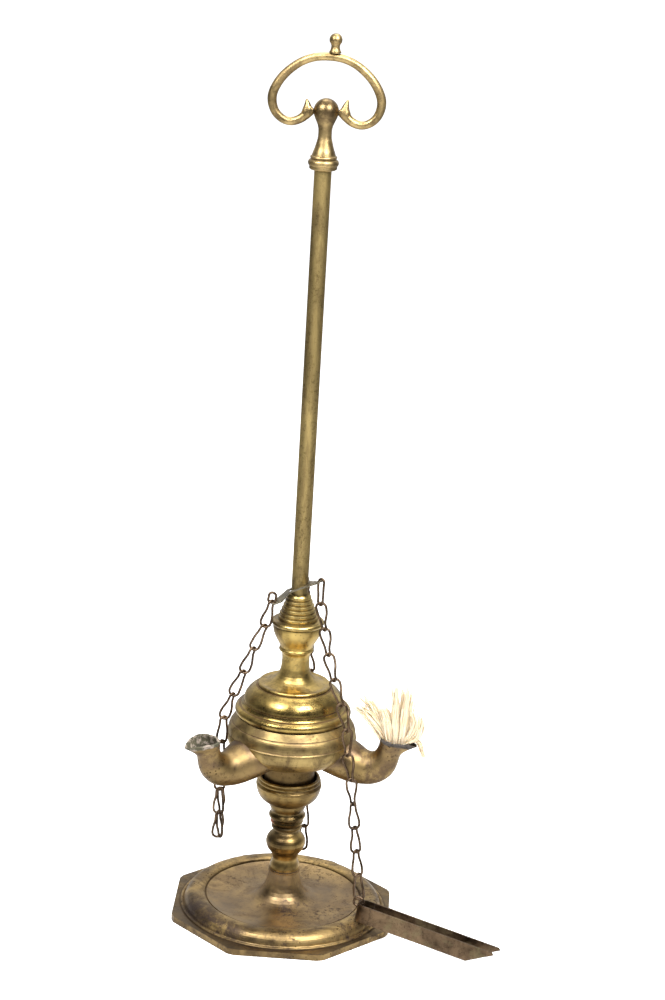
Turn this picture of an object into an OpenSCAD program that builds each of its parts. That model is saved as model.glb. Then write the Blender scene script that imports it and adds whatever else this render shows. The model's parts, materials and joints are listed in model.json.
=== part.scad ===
// Table oil lamp with three spouts: a stand with a tall rod and a ring handle,
// and an oil reservoir that turns and slides on the rod.
// The axis of the rod is Z. The origin is on it, in the plane the base stands on.

/* [Stand] */
// Distance from the axis to a corner of the eight-sided base
base_r = 65; // [58:1:75]
// Thickness of the edge of the base
base_edge = 3.6; // [3:0.2:5]
// Radius of the rod
rod_r = 4.5; // [4:0.1:5]
// Height of the rod's shoulder under the handle
rod_top = 417; // [360:1:460]

/* [Reservoir] */
// Largest radius of the oil bowl
bowl_r = 35.6; // [34:0.2:37]
// Thickness of the bowl and lid walls
wall = 1.6; // [1.2:0.1:2]
// Direction of the right spout, seen from above
spout_turn = -18.5; // [-22:0.5:-15]
// Radial clearance of every piece that slides or turns on the rod
running_gap = 0.06; // [0.03:0.01:0.1]

/* [Chains] */
// Radius of the chain wire
wire_r = 0.6; // [0.5:0.05:0.65]
// Distance from one link to the next
pitch = 14; // [13.8:0.1:14.6]
// Half the distance between the two legs of a link
link_half = 1.9; // [1.8:0.05:2.2]

/* [Tweezers] */
// Height of the brass strip
strip_h = 10; // [8:0.5:10.5]
// Thickness of the brass strip
strip_t = 0.9; // [0.7:0.1:1.1]
// Length of an arm along its top edge
arm_len = 71; // [60:1:74]

/* [Hidden] */
$fn = 96;

// Heights on the axis, from the base up
stem_z = 25.2;      // foot of the baluster
joint_z = 52;       // baluster meets cup
cup_floor = 70;     // inside of the cup
bowl_floor = 90.6;  // underside of the bowl
lid_z = 118;        // lower edge of the lid
neck_z = 134.6;     // flange of the neck
cap_z = 170;        // lower edge of the ringed cap
plate_z = 190.8;    // middle of the chain plate
ball_z = 447;       // middle of the ball under the handle
ball_r = 6.5;
finial_x = 2.9;     // the finial stands a little to the right of the loop's crown

bore_r = rod_r + running_gap;
stud_r = 3;
loose = 0.1;        // clearance of fixed pieces round the stud and rod
corner_wear = 0.8;  // how far the corners of the base are rounded off
seam = 0.3;         // gap between pieces that lift off each other

SPOUTS = [spout_turn, spout_turn - 120, spout_turn + 120];
RIGHT = 0;
LEFT = 1;
BACK = 2;
CHAIN_TURN = [-38, -162, 78];
LOWER_TURN = [0, -162, 78]; // the way each chain's lower part leans
lower = 7;          // first link of the lower part
plate_tilt = 24;    // the plate rises to the right
plate_dip = 10;     // and falls to the back
plate_t = 0.9;
eye_r = 13.2;       // distance of the plate's eyes from the axis
ear_r = 2.3;        // metal round an eye
hook_rise = 0.5;    // from an eye up to the start of its hook's upper bend
HOOK_DROP = [10.95, 2.1, 5.25]; // straight part of each plate hook
// Lean of each link from the vertical, outwards, from the hook down
LEAN = [
    [15, 16, 20, 25, 23, 5, 15, 7, 7, 7, 7, 7],
    [13, 24, 20, 23, 19, 3, 0, 0, 0, 0],
    [15, 17, 21, 24, 21, 4, 1, 0, 0, 0, 0, 0]
];
link_gap = 0.15;    // play between two links
lap = 2 * wire_r + link_gap;
straight = pitch + lap - 2 * link_half;

// The tweezers hang in a small ring at the end of the right chain
end_ring_r = 2.8;   // radius of the middle of its wire
tweezers_turn = -16;
tweezers_dip = 9.4;
hole_down = 3.2;    // from the top edge of the strip to its hole
arm_half = 3.85;    // from the middle of the tweezers to the middle of an arm
stub = 8;           // length of the folded head

// ---------- outlines ----------

function arc(c, r, a0, a1, n = 6) =
    [for (i = [0:n]) let (a = a0 + (a1 - a0) * i / n) c + r * [cos(a), sin(a)]];

function bend(p, q, s, n = 8) =
    [for (i = [0:n]) let (t = i / n) (1 - t) * (1 - t) * p + 2 * t * (1 - t) * q + t * t * s];

// A smooth curve through every point of p, n steps from each to the next
function through(p, n = 4) = [
    for (i = [0:len(p) - 2], k = [0:n - 1])
        let (
            t = k / n,
            a = p[max(i - 1, 0)], b = p[i], c = p[i + 1], d = p[min(i + 2, len(p) - 1)]
        )
        0.5 * (2 * b + t * (c - a) + t * t * (2 * a - 5 * b + 4 * c - d) + t * t * t * (3 * b - a - 3 * c + d)),
    p[len(p) - 1]
];

module turned(outline) {
    rotate_extrude()
        polygon(outline);
}

// ---------- solids swept along a curve in the XZ plane ----------

// path holds [x, z, half height, half width]
function ring_at(path, i, sides) =
    let (
        a = path[max(i - 1, 0)], b = path[min(i + 1, len(path) - 1)],
        d = [b[0] - a[0], b[1] - a[1]] / norm([b[0] - a[0], b[1] - a[1]]), p = path[i]
    )
    [for (j = [0:sides - 1]) let (w = 360 * j / sides)
        [p[0] - d[1] * p[2] * cos(w), p[3] * sin(w), p[1] + d[0] * p[2] * cos(w)]];

module swept(path, sides) {
    last = len(path) - 1;
    polyhedron(
        points = [for (i = [0:last]) each ring_at(path, i, sides)],
        faces = concat(
            [[for (j = [sides - 1:-1:0]) j]],
            [for (i = [0:last - 1], j = [0:sides - 1])
                let (k = (j + 1) % sides, u = i * sides, v = u + sides)
                [u + j, u + k, v + k, v + j]],
            [[for (j = [0:sides - 1]) last * sides + j]]
        ),
        convexity = 6
    );
}

// ---------- stand ----------

BASE_TOP = concat(
    [[0, 1], [57.4, 1], [57.4, base_edge]],
    arc([56.4, base_edge], 1, 0, 150, 5),
    arc([48.8, 4.2], 6.3, 3, 90, 9),
    bend([48, 10.5], [44.8, 10.6], [43.7, 9.3], 5),
    [[43.5, 8.7], [43, 8.7]],
    bend([42.8, 9.1], [38, 7.4], [30, 7.2], 5),
    bend([20, 7.8], [10.2, 8.6], [8.5, 24.2], 10),
    [[8.9, 24.5], [8.9, stem_z], [0, stem_z]]
);

BASE_UNDER = [
    [0, -1], [53, -1], [53, 1.2], [50.5, 5.2], [47, 7.2], [43.6, 6], [38, 4.4],
    [20, 4.2], [13, 6], [11, 9], [11, 10.5], [0, 10.5]
];

module base_foot() {
    color("#8f7a5e")
    difference() {
        union() {
            intersection() {
                rotate(22.5)
                    cylinder(r = base_r, h = base_edge, $fn = 8);
                cylinder(r = base_r - corner_wear, h = base_edge);
            }
            turned(BASE_TOP);
        }
        turned(BASE_UNDER);
        cylinder(r = stud_r + loose, h = stem_z + 1);
    }
}

module base_nut() {
    color("#6d5a3c")
    translate([0, 0, 5.4])
    difference() {
        cylinder(r = 5.8, h = 5, $fn = 6);
        translate([0, 0, -1])
            cylinder(r = stud_r + loose, h = 7);
    }
}

module tie_stud() {
    color("#6d5a3c")
    translate([0, 0, 4.6])
        cylinder(r = stud_r, h = 56);
}

BALUSTER = concat(
    [[stud_r + loose, stem_z], [7.9, stem_z], [8.3, stem_z + 0.5]],
    through([[8.3, 27], [7.9, 28.6], [7.1, 31.2], [7.1, 33], [7.9, 35.2], [9.9, 38], [11, 41.2], [10.6, 44],
        [9.2, 46.2], [7.4, 47.6], [6.6, 48.6]], 3),
    [[6.6, 49.4], [7.6, 49.8]],
    arc([7.5, 50.9], 0.9, -70, 70, 4),
    [[7.3, joint_z], [stud_r + loose, joint_z]]
);

module stem_baluster() {
    color("#a88a4c")
        turned(BALUSTER);
}

CUP = concat(
    [[stud_r + loose, joint_z], [7.6, joint_z], [8.2, joint_z + 0.9]],
    through([[8.8, 53.4], [9.2, 54.4], [8.9, 55.4], [9.3, 56.2], [10.1, 57.2], [10.1, 58.4], [9.3, 59.6],
        [9.1, 61], [9.7, 62.4], [10.1, 63.8], [10.2, 65.2]], 2),
    bend([10.6, 65.8], [16.8, 67.6], [17.9, 74.6], 8),
    arc([17.1, 76.2], 1.1, -40, 70, 5),
    [[17.1, 77.6], [17.3, 78]],
    arc([16.9, 78.7], 0.8, -50, 60, 4),
    [[16.8, 79.7]],
    arc([16.3, 80.5], 0.75, -50, 110, 5),
    [[15.4, 80.8], [15.2, 79], [14.9, cup_floor], [rod_r + loose, cup_floor], [rod_r + loose, 61.5],
        [stud_r + loose, 61.5]]
);

module stem_cup() {
    color("#8c7140")
        turned(CUP);
}

module rod() {
    color("#94804e")
    translate([0, 0, 62])
        cylinder(r = rod_r, h = rod_top + 7 - 62);
}

// ---------- handle ----------

SOCKET = concat(
    [[rod_r + loose, rod_top], [6.4, rod_top], [7.2, rod_top + 0.6]],
    arc([5.9, rod_top + 3.6], 2.1, -50, 55, 6),
    [[6.3, 422.6], [6.8, 423]],
    arc([6.4, 423.6], 0.6, -40, 90, 3),
    through([[6.2, 424.3], [5.7, 426], [4.9, 428.2], [4.2, 430.8], [3.6, 433.4], [3.5, 436], [3.6, 438],
        [4.1, 440], [4.9, 441.8], [5.7, 443.6], [6.2, 445]], 3),
    arc([0, ball_z], ball_r, -10, 90, 14),
    [[0, 425], [rod_r + loose, 425]]
);

module handle_socket() {
    color("#a08850")
        turned(SOCKET);
}

// Right half of the handle's centre line, from the top round to the ball
LOOP = [[0, 474.4], [8.6, 473.5], [16.6, 470], [24, 462.6], [27.9, 454.4], [27, 447.6], [23.4, 442.8],
    [17.8, 440.7], [12.6, 442.2], [8.6, 445], [5.6, 447]];
LOOP_R = [1.95, 1.95, 2, 2.15, 2.2, 2.15, 2, 1.95, 2.05, 2.3, 2.4];

module handle_loop() {
    half = [for (i = [0:len(LOOP) - 1]) [LOOP[i][0], LOOP[i][1], LOOP_R[i], LOOP_R[i]]];
    other = [for (i = [len(LOOP) - 1:-1:1]) [-LOOP[i][0], LOOP[i][1], LOOP_R[i], LOOP_R[i]]];
    color("#a08850")
    difference() {
        union() {
            swept(through(concat(other, half), 3), 12);
            for (side = [-1, 1])
                translate([side * 8.4, 0, 445.6])
                rotate([0, side * 15, 0])
                    cylinder(r1 = 2.8, r2 = 0.5, h = 7.8);
        }
        translate([0, 0, ball_z])
            sphere(r = ball_r + 0.05);
        translate([0, 0, ball_z - 8])
            cylinder(r = ball_r, h = 8);
        translate([finial_x, 0, 473.9])
            cylinder(r = 1.25, h = 5);
    }
}

FINIAL = concat(
    [[0, 474], [1.2, 474], [1.2, 476.4], [3.1, 476.4], [3, 477.2]],
    bend([2.6, 477.8], [2.2, 478.9], [2.2, 479.8], 3),
    bend([2.2, 479.8], [2.3, 480.9], [3, 481.6], 3),
    arc([0, 483], 3.3, -20, 60, 7),
    [[1, 486.1], [0, 486.2]]
);

module handle_finial() {
    color("#a08850")
    translate([finial_x, 0, 0])
        turned(FINIAL);
}

// ---------- reservoir ----------

module reservoir_foot() {
    color("#4a3820")
    difference() {
        turned([[0, cup_floor + seam], [13.2, cup_floor + seam], [13.8, cup_floor + 1],
            [13.8, 84], [13.2, 88], [13.2, bowl_floor - loose], [0, bowl_floor - loose]]);
        turned([[6.5, cup_floor], [11.2, cup_floor], [11.2, 84], [6.5, 84]]);
        translate([0, 0, cup_floor - 1])
            cylinder(r = bore_r, h = 30);
    }
}

module oil_sleeve() {
    color("#8c7140")
    difference() {
        translate([0, 0, bowl_floor])
            cylinder(r = 5.8, h = 40);
        translate([0, 0, bowl_floor - 1])
            cylinder(r = bore_r, h = 42);
    }
}

BOWL_SIDE = concat(
    through([[14, bowl_floor], [20, 91.3], [26.5, 93.6], [31.4, 96.8], [34.4, 100.6], [bowl_r, 104.6],
        [bowl_r - 0.1, 106.6]], 3),
    [[bowl_r - 0.5, 107.2]],
    bend([bowl_r - 0.4, 107.6], [bowl_r - 0.6, 111.2], [bowl_r - 2.2, 113.1], 6),
    [[bowl_r - 2.7, 113.5]],
    through([[bowl_r - 2.6, 113.8], [bowl_r - 3.8, 115.6], [bowl_r - 5, 117.4]], 3)
);

// The bowl's outside as one solid, which the spouts are cut to fit
module bowl_solid() {
    turned(concat([[0, bowl_floor]], BOWL_SIDE, [[0, 117.4]]));
}

module reservoir_bowl() {
    color("#a68a50")
    difference() {
        turned(concat([[0, bowl_floor]], BOWL_SIDE, [[29.8, lid_z - seam], [0, lid_z - seam]]));
        turned(concat(
            [[0, bowl_floor + wall]],
            through([[14, bowl_floor + wall], [26, 95.6], [30.6, 98.8], [33.4, 103], [33.8, 107], [33, 111]], 2),
            [[29.2, 114], [29.2, lid_z + 1], [0, lid_z + 1]]
        ));
        translate([0, 0, bowl_floor - 1])
            cylinder(r = 5.9, h = 5);
        for (a = SPOUTS)
            rotate(a)
            translate([22, 0, 98])
            rotate([0, 90, 0])
                cylinder(r = 5.4, h = 20);
    }
}

// Sections of a spout: the outline's lower point, its upper point, half width, pinch of the lip, rise of the rim
SPOUT = [
    [[17, 91.6], [22, 104], 15.5, 0, 0], [[23, 90], [26, 107], 15.4, 0, 0],
    [[28.5, 87.8], [30, 109], 14.6, 0, 0], [[33.5, 86.2], [34, 108.7], 12.9, 0, 0],
    [[38.8, 85.3], [38.6, 107], 10.9, 0, 0], [[44, 85.5], [42.7, 104.8], 9.4, 0, 0],
    [[49.5, 86.6], [45.6, 104.3], 8.6, 0, 0], [[54.6, 89.2], [47.8, 104.9], 8, 0, 0],
    [[58.6, 93], [49.3, 106.2], 7.3, 0, 0], [[61, 97.2], [50.3, 108], 6.8, 0, 0],
    [[62.3, 101.6], [51, 110], 6.6, 0.06, 0], [[63.3, 105.3], [51.5, 111.7], 6.8, 0.16, 0.2],
    [[66, 108.4], [51.9, 113.4], 7.4, 0.32, 0.6], [[72.3, 112.4], [52.3, 115.3], 7.9, 0.45, 1.3]
];
SECTIONS = [for (q = SPOUT) [q[0][0], q[0][1], q[1][0], q[1][1], q[2], q[3], q[4]]];

// One ring of a spout, inset by t from its outline
function spout_ring(q, t, sides) =
    let (low = [q[0], q[1]], up = [q[2], q[3]], mid = (low + up) / 2, half = (up - low) / 2, k = 1 - t / norm(half))
    [for (j = [0:sides - 1]) let (
        w = 360 * j / sides, p = mid + half * k * cos(w),
        rise = q[6] * sin(w) * sin(w) * (1 - cos(w)) / 2
    )
        [p[0], (q[4] - t) * sin(w) * (1 + q[5] * cos(w)), p[1] + rise]];

module spout(turn) {
    sides = 24;
    rows = through(SECTIONS, 2);
    n = len(rows);
    rotate(turn)
    difference() {
        polyhedron(
            points = concat(
                [for (i = [0:n - 1]) each spout_ring(rows[i], 0, sides)],
                [for (i = [n - 1:-1:0]) each spout_ring(rows[i], wall - 0.1, sides)]
            ),
            faces = [for (i = [0:2 * n - 1], j = [0:sides - 1])
                let (k = (j + 1) % sides, u = i * sides, v = ((i + 1) % (2 * n)) * sides)
                [u + j, u + k, v + k, v + j]],
            convexity = 8
        );
        scale([1.004, 1.004, 1])
            bowl_solid();
    }
}

module spout_right() {
    color("#9c8248")
        spout(SPOUTS[RIGHT]);
}

module spout_left() {
    color("#9c8248")
        spout(SPOUTS[LEFT]);
}

module spout_back() {
    color("#9c8248")
        spout(SPOUTS[BACK]);
}

// Cotton wick: along the passage and fanned out above the mouth
WICK = [
    [24, 97.8, 2.4, 2.4], [34, 97.2, 2.6, 2.6], [44, 95.8, 3, 3], [50, 97, 3, 3], [54.2, 100.6, 3, 3],
    [56.4, 105.6, 3.2, 3.4], [57.8, 110, 3.6, 4], [58.6, 115, 4.6, 4.6], [58.4, 123, 6.6, 5.4],
    [57.6, 132, 8, 6], [57, 142, 6, 5]
];

module wick() {
    color("#f0e2c4")
    rotate(SPOUTS[RIGHT])
        swept(through(WICK, 2), 12);
}

// ---------- lid ----------

LID_SIDE = concat(
    [[29.8, lid_z]],
    through([[30.6, 118.2], [31.5, 119.1], [31.8, 120.5], [31.2, 121.9], [30, 122.8], [28.8, 123.2]], 3),
    bend([28.5, 123.4], [27.9, 124], [27.5, 125.3], 4),
    [[27.1, 125.5], [27.2, 125.8]],
    bend([27.3, 126], [26.6, 131.2], [20.4, neck_z], 10)
);

module lid_dome() {
    color("#b09350")
    difference() {
        turned(concat([[0, lid_z]], LID_SIDE, [[0, neck_z]]));
        turned(concat([[0, lid_z - 1], [28.4, lid_z - 1], [28.4, 120.8], [26.2, 123], [25.7, 125.4]],
            bend([25.6, 126], [24.8, 130.6], [19, 132.8], 6), [[0, 132.8]]));
        cylinder(r = 8, h = 140);
    }
    difference() {
        translate([0, 0, lid_z - 5])
            cylinder(r = 28.8, h = 6);
        translate([0, 0, lid_z - 6])
            cylinder(r = 27.4, h = 8);
    }
}

NECK = concat(
    [[0, neck_z], [19, neck_z]],
    arc([19, neck_z + 0.8], 0.8, -60, 80, 5),
    bend([18.4, 136.2], [16.6, 135.8], [15.4, 136.3], 3),
    bend([15.4, 136.3], [8, 138.2], [7.6, 147.5], 8),
    through([[7.5, 150.4], [7.8, 153], [8.4, 154.4]], 2),
    arc([8.5, 155.7], 1, -60, 60, 4),
    through([[8.8, 157], [9.6, 159], [11.3, 162], [12.7, 165.2], [13.3, 168], [13.3, 169.4]], 3),
    [[0, 169.4]]
);

module lid_neck() {
    color("#a68a4a")
    difference() {
        turned(NECK);
        cylinder(r = 6.4, h = 160);
        cylinder(r = bore_r, h = 172);
    }
}

rings = 6;
function ring_r(i) = 11.1 - 0.88 * i;

CAP = concat(
    [[0, cap_z - loose], [13.6, cap_z - loose]],
    arc([13.2, cap_z + 1.3], 1.2, -60, 80, 5),
    [[12.2, cap_z + 2.3]],
    [for (i = [0:rings - 1]) each concat([[ring_r(i) - 0.6, cap_z + 2.8 + 2.3 * i]],
        arc([ring_r(i) - 0.9, cap_z + 4.1 + 2.3 * i], 0.85, -50, 60, 4))],
    [[5.9, cap_z + 16.8], [5.6, cap_z + 17.2], [0, cap_z + 17.2]]
);

module ringed_cap() {
    color("#b49852")
    difference() {
        turned(CAP);
        translate([0, 0, cap_z - 1])
            cylinder(r = bore_r, h = 20);
    }
}

// ---------- chain plate ----------

function eye(i) = [eye_r * cos(CHAIN_TURN[i]), eye_r * sin(CHAIN_TURN[i])];
// The eye's place in the plane of the tilted plate
function plate_eye(i) = let (y = eye(i)[1] / cos(plate_dip))
    [(eye(i)[0] - y * sin(plate_dip) * sin(plate_tilt)) / cos(plate_tilt), y];
function eye_z(i) = plate_z + plate_eye(i)[0] * sin(plate_tilt)
    - plate_eye(i)[1] * sin(plate_dip) * cos(plate_tilt);

// Three-cornered outline with hollow sides and an eye near each corner
PLATE = [for (n = [0:2]) let (i = (3 - n) % 3, next = (2 - n) % 3, a = CHAIN_TURN[i], b = CHAIN_TURN[next],
        gap = (b - a + 720) % 360, m = a + gap / 2)
    each concat(
        arc(plate_eye(i), ear_r, a - 75, a + 75, 8),
        bend(plate_eye(i) + ear_r * [cos(a + 85), sin(a + 85)], 7.6 * [cos(m), sin(m)],
            plate_eye(next) + ear_r * [cos(b - 85), sin(b - 85)], 8)
    )];

module chain_plate() {
    color("#8d8466")
    translate([0, 0, plate_z])
    rotate([-plate_dip, -plate_tilt, 0])
    translate([0, 0, -plate_t / 2])
    linear_extrude(plate_t)
    difference() {
        polygon(PLATE);
        circle(r = rod_r + 1.7);
        for (i = [0:2])
            translate(plate_eye(i))
                circle(r = 1.2);
    }
}

// A link of round wire in the XZ plane: two half rings and two legs, its top wire centred on the origin
module link(leg) {
    translate([0, 0, -link_half]) {
        for (end = [0, 1])
            translate([0, 0, -end * leg])
            mirror([0, 0, end])
            rotate([90, 0, 0])
            rotate_extrude(angle = 180)
            translate([link_half, 0])
                circle(r = wire_r, $fn = 24);
        for (side = [-1, 1])
            translate([side * link_half, 0, -leg])
                cylinder(r = wire_r, h = leg, $fn = 24);
    }
}

// A ring of the same wire, hanging from the origin
module end_ring() {
    translate([0, 0, -end_ring_r])
    rotate([90, 0, 0])
    rotate_extrude($fn = 48)
    translate([end_ring_r, 0])
        circle(r = wire_r, $fn = 24);
}

module plate_hooks() {
    color("#7d654c")
    for (i = [0:2])
        rotate(CHAIN_TURN[i])
        translate([eye_r + link_half, 0, eye_z(i) + hook_rise + link_half])
            link(HOOK_DROP[i]);
}

// ---------- chains ----------

function link_turn(i, k) = k < lower ? CHAIN_TURN[i] : LOWER_TURN[i];
function down(i, k) = [
    sin(LEAN[i][k]) * cos(link_turn(i, k)), sin(LEAN[i][k]) * sin(link_turn(i, k)), -cos(LEAN[i][k])
];
// Middle of the top wire of link k
function joint_at(i, k) = k == 0
    ? let (r = eye_r + link_half, a = CHAIN_TURN[i])
        [r * cos(a), r * sin(a), eye_z(i) + hook_rise - HOOK_DROP[i] - link_half + lap]
    : joint_at(i, k - 1) + pitch * down(i, k - 1);

// Links of even number lie across the chain's plane; those of the lower part turn by twist, then by step each
module chain(i, first, last, twist = 0, step = 0) {
    color("#6b5340")
    for (k = [first:last])
        translate(joint_at(i, k))
        rotate(link_turn(i, k))
        rotate([0, -LEAN[i][k], 0])
        rotate((k % 2 == 0 ? 90 : 0) + twist + (k - first) * step)
            link(straight);
}

module chain_right_upper() chain(RIGHT, 0, 4);
module chain_right_middle() chain(RIGHT, 5, 6);
module chain_right_lower() {
    chain(RIGHT, lower, 11, -25, 25);
    color("#6b5340")
    translate(joint_at(RIGHT, 12))
    rotate(tweezers_turn)
        end_ring();
}
module chain_left_upper() chain(LEFT, 0, 4);
module chain_left_middle() chain(LEFT, 5, 6);
module chain_left_lower() chain(LEFT, lower, 9);
module chain_back_upper() chain(BACK, 0, 4);
module chain_back_middle() chain(BACK, 5, 6);
module chain_back_lower() chain(BACK, lower, 11);

// ---------- tweezers ----------

hole_at = joint_at(RIGHT, 12) - [0, 0, 2 * end_ring_r];
strip_top = hole_down;
strip_low = hole_down - strip_h;

// Puts its children in the tweezers' own frame: X along the arms, Z across the strip, origin in the hole
module at_tweezers() {
    translate(hole_at)
    rotate(tweezers_turn)
    rotate([0, tweezers_dip, 0])
        children();
}

module tweezers_head() {
    outer = arm_half + strip_t / 2;
    color("#7f6a50")
    at_tweezers()
    difference() {
        translate([arm_half, 0, strip_low])
        linear_extrude(strip_h)
        difference() {
            union() {
                circle(r = outer);
                translate([0, -outer])
                    square([stub - arm_half, 2 * outer]);
            }
            circle(r = outer - strip_t);
            translate([0, strip_t - outer])
                square([stub, 2 * (outer - strip_t)]);
        }
        rotate([0, -90, 0])
            translate([0, 0, -2])
            cylinder(r = 1.3, h = 4);
    }
}

module tweezers_arm(side, length) {
    color("#7f6a50")
    at_tweezers()
    translate([stub + 0.15, side * arm_half + strip_t / 2, strip_low])
    rotate([90, 0, 0])
    linear_extrude(strip_t)
        polygon([[0, 0], [length - 14, 0], [length, strip_h - 1.2], [length - 1, strip_h], [0, strip_h]]);
}

module tweezers_arm_near() tweezers_arm(-1, arm_len);
module tweezers_arm_far() tweezers_arm(1, arm_len + 2);

base_foot();
base_nut();
tie_stud();
stem_baluster();
stem_cup();
rod();
handle_socket();
handle_loop();
handle_finial();
reservoir_foot();
oil_sleeve();
reservoir_bowl();
spout_right();
spout_left();
spout_back();
wick();
lid_dome();
lid_neck();
ringed_cap();
chain_plate();
plate_hooks();
chain_right_upper();
chain_right_middle();
chain_right_lower();
chain_left_upper();
chain_left_middle();
chain_left_lower();
chain_back_upper();
chain_back_middle();
chain_back_lower();
tweezers_head();
tweezers_arm_near();
tweezers_arm_far();
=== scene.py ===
import json
import math
import random

import bpy
import bmesh
from mathutils import Matrix, Vector


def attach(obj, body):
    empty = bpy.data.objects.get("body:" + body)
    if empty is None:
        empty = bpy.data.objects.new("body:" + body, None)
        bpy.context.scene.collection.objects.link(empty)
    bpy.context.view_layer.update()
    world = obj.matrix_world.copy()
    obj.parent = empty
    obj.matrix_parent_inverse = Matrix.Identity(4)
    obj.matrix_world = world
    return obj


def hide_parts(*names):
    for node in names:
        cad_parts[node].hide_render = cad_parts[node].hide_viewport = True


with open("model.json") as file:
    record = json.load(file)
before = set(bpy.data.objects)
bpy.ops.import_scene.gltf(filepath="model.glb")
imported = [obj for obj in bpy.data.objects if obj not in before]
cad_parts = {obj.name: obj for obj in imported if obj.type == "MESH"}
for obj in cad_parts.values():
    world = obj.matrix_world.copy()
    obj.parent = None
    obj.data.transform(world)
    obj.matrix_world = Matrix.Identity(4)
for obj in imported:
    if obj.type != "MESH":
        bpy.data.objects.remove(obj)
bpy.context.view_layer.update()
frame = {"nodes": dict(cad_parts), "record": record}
nodes = frame["nodes"]
record = frame["record"]
MM = 0.001


# ---------- helpers ----------

def smoothstep(t):
    t = min(max(t, 0.0), 1.0)
    return t * t * (3 - 2 * t)


def curve_through(points, steps):
    """Points of a Catmull-Rom curve through the given lists of numbers."""
    out = []
    for i in range(len(points) - 1):
        a = points[max(i - 1, 0)]
        b, c = points[i], points[i + 1]
        d = points[min(i + 2, len(points) - 1)]
        for k in range(steps):
            t = k / steps
            out.append([
                0.5 * (2 * q + t * (r - p) + t * t * (2 * p - 5 * q + 4 * r - s)
                       + t ** 3 * (3 * q - p - 3 * r + s))
                for p, q, r, s in zip(a, b, c, d)
            ])
    out.append(list(points[-1]))
    return out


def mesh_object(name, verts, faces, body, slot=None, mat=None, smooth=True):
    """A new object that rides on a body of the frame. Its slot is not used."""
    me = bpy.data.meshes.new(name)
    me.from_pydata([Vector(v) for v in verts], [], faces)
    me.validate()
    bm = bmesh.new()
    bm.from_mesh(me)
    bmesh.ops.recalc_face_normals(bm, faces=bm.faces)
    bm.to_mesh(me)
    bm.free()
    if smooth:
        me.polygons.foreach_set("use_smooth", [True] * len(me.polygons))
    ob = bpy.data.objects.new(name, me)
    bpy.context.collection.objects.link(ob)
    if mat:
        me.materials.append(mat)
    if body:
        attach(ob, body)
    return ob


def grid_faces(rows, cols, close_rows=False):
    """Faces between rows of points, where each row is a closed ring."""
    faces = []
    for i in range(rows if close_rows else rows - 1):
        here, there = i * cols, (i + 1) % rows * cols
        for j in range(cols):
            k = (j + 1) % cols
            faces.append((here + j, here + k, there + k, there + j))
    return faces


def tube_mesh(path, radii, sides, closed=False):
    """Verts and faces of a tube along path. radii is one radius, or one for each point."""
    n = len(path)
    pts = [Vector(p) for p in path]
    tang = []
    for i in range(n):
        a = pts[(i - 1) % n] if closed else pts[max(i - 1, 0)]
        b = pts[(i + 1) % n] if closed else pts[min(i + 1, n - 1)]
        tang.append((b - a).normalized())
    up = tang[0].orthogonal().normalized()
    ups = [up]
    for i in range(1, n):
        q = tang[i - 1].rotation_difference(tang[i])
        up = q @ ups[-1]
        up = (up - tang[i] * up.dot(tang[i])).normalized()
        ups.append(up)
    if closed:
        q = tang[-1].rotation_difference(tang[0])
        end = q @ ups[-1]
        miss = math.atan2(end.cross(ups[0]).dot(tang[0]), end.dot(ups[0]))
        ups = [Matrix.Rotation(miss * i / n, 3, tang[i]) @ u for i, u in enumerate(ups)]
    verts = []
    for i in range(n):
        side = tang[i].cross(ups[i])
        r = radii[i] if hasattr(radii, "__len__") else radii
        for j in range(sides):
            w = 2 * math.pi * j / sides
            verts.append(pts[i] + ups[i] * (r * math.cos(w)) + side * (r * math.sin(w)))
    faces = grid_faces(n, sides, close_rows=closed)
    if not closed:
        faces.append(tuple(reversed(range(sides))))
        faces.append(tuple((n - 1) * sides + j for j in range(sides)))
    return verts, faces


def joined(parts):
    """One mesh's verts and faces from several."""
    verts, faces = [], []
    for v, f in parts:
        base = len(verts)
        verts += v
        faces += [tuple(base + q for q in face) for face in f]
    return verts, faces


# ---------- materials ----------

# Sockets of a Mix node, which has several of each name: colours, then plain numbers
COLOR_A, COLOR_B, COLOR_OUT = 6, 7, 2
NUMBER_A, NUMBER_B = 2, 3
AO_SAMPLES = 6

GRIME = (0.04, 0.026, 0.014)
STAIN = (0.1, 0.066, 0.038)
SPOUT_STAIN = (0.13, 0.085, 0.06)
LID_LINE = (0.09, 0.045, 0.03)
BOWL_LINE = (0.12, 0.065, 0.05)
DULL_SHOULDER = (0.26, 0.18, 0.085)
RED_SOLDER = (0.42, 0.13, 0.07)
PALE_SOLDER = (0.62, 0.5, 0.42)
# Dirt and painted shadow on the cup under the reservoir
CUP_DIRT_AND_SHADOW = (0.1, 0.065, 0.025)
TRAY_BROWN = (0.29, 0.2, 0.115)
# Black of the base's spots, also used for the painted shade on the left front of its roll
BLACK_SPOT_AND_SHADE = (0.06, 0.043, 0.04)
BASE_RING = (0.05, 0.03, 0.015)
BASE_EDGE = (0.1, 0.07, 0.04)
SPOUT_ROOT = (0.15, 0.1, 0.065)
SPOUT_THROAT = (0.03, 0.022, 0.016)
SPOUT_SEAM = (0.14, 0.085, 0.06)
GREEN_RESIDUE = (0.2, 0.17, 0.08)


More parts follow.
